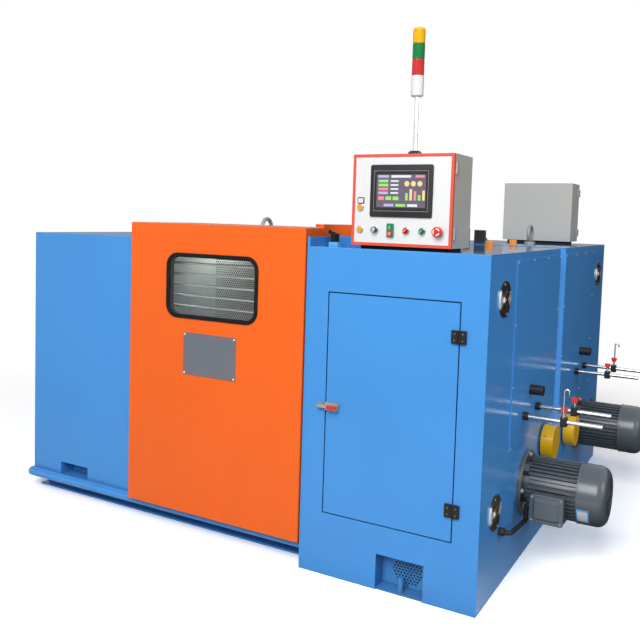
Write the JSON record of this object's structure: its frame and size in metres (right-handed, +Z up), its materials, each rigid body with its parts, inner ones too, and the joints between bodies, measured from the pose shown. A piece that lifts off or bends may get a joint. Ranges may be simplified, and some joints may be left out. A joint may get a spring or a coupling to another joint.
{
  "type": "pair twisting machine",
  "caption": "Twin wire pair twisting machine: blue housings back to back on one plinth, orange sliding door with a window, drive cabinet, flange motors, control box and signal tower.",
  "frame": {"origin": "on the floor under the middle of the machine's box", "axes": "+X along the machine towards the drive end with the motors, -Y towards the operator's side with the control box, +Z up"},
  "size_m": [2.916, 2.591, 2.299],
  "materials": {
    "blue_paint": "semi-gloss enamel",
    "orange_paint": "semi-gloss enamel",
    "grey_paint": "fine powder coat",
    "panel_face": "satin printed panel with a red-orange border",
    "motor_grey": "satin enamel on cast iron",
    "yellow_paint": "gloss enamel",
    "lining_steel": "plain and perforated sheet",
    "bright_steel": "polished",
    "zinc": "zinc plated",
    "dark_steel": "matt black",
    "black_plastic": "moulded",
    "rubber": "extruded",
    "glass": "clear",
    "red_plastic": "gloss",
    "orange_plastic": "gloss",
    "green_plastic": "gloss",
    "white_plastic": "satin",
    "red_lens": "clear coloured",
    "green_lens": "clear coloured",
    "amber_lens": "clear coloured"
  },
  "bodies": {
    "machine": {"plinth_rails": "blue_paint", "cross_beams": "blue_paint", "door_rails": "blue_paint", "floors": "blue_paint", "left_front_panels": "blue_paint", "recess_boxes": "blue_paint", "left_end_walls": "blue_paint", "back_walls": "blue_paint", "roofs": "blue_paint", "bulkheads": "blue_paint", "cabinet_fronts": "blue_paint", "cabinet_tops": "blue_paint", "end_plates": "blue_paint", "far_cabinet_door": "blue_paint", "access_panels": "blue_paint", "far_sliding_door": "orange_paint", "control_box": "grey_paint", "electrical_box": "grey_paint", "motor_flanges": "motor_grey", "motor_frames": "motor_grey", "fan_covers": "motor_grey", "terminal_boxes": "motor_grey", "brake_drums": "yellow_paint", "chamber_linings": "lining_steel", "hole_covers": "bright_steel", "guide_rods": "bright_steel", "lifting_eyes": "bright_steel", "tower_pole": "bright_steel", "latch_keepers": "zinc", "levelling_feet": "zinc", "box_hinges": "zinc", "box_feet": "dark_steel", "hinge_plates": "dark_steel", "end_fittings": "black_plastic", "conduits": "black_plastic", "roof_switches": "black_plastic", "far_window_gasket": "rubber", "far_window_glass": "glass", "clamp_knobs": "red_plastic", "top_caps": "orange_plastic", "tower_body": "white_plastic", "red_lens": "red_lens", "green_lens": "green_lens", "amber_lens": "amber_lens"},
    "chamber_door": {"sliding_door": "orange_paint", "window_gasket": "rubber", "window_glass": "glass", "window_bars": "bright_steel"},
    "drive_cabinet_door": {"cabinet_door": "blue_paint", "hinge_leaves": "dark_steel", "door_latch": "zinc", "latch_handle": "red_plastic"},
    "operator_panel": {"control_panel": "panel_face", "touch_screen": "black_plastic", "button_bezels": "bright_steel", "orange_buttons": "orange_plastic", "speed_knob": "black_plastic", "start_stop_block": "green_plastic", "green_selector": "green_plastic", "red_controls": "red_plastic"}
  },
  "joints": [
    {"name": "chamber_door_slide", "type": "slide", "parent": "machine", "child": "chamber_door", "axis": [-1, 0, 0], "range_m": [0, 0.73]},
    {"name": "cabinet_door_hinge", "type": "hinge", "parent": "machine", "child": "drive_cabinet_door", "pos_m": [0.985, -1.2715, 0.269], "axis": [0, 0, 1], "range_deg": [0, 100]},
    {"name": "operator_panel_hinge", "type": "hinge", "parent": "machine", "child": "operator_panel", "pos_m": [0.928, -1.2185, 1.414], "axis": [0, 0, 1], "range_deg": [0, 95]}
  ]
}
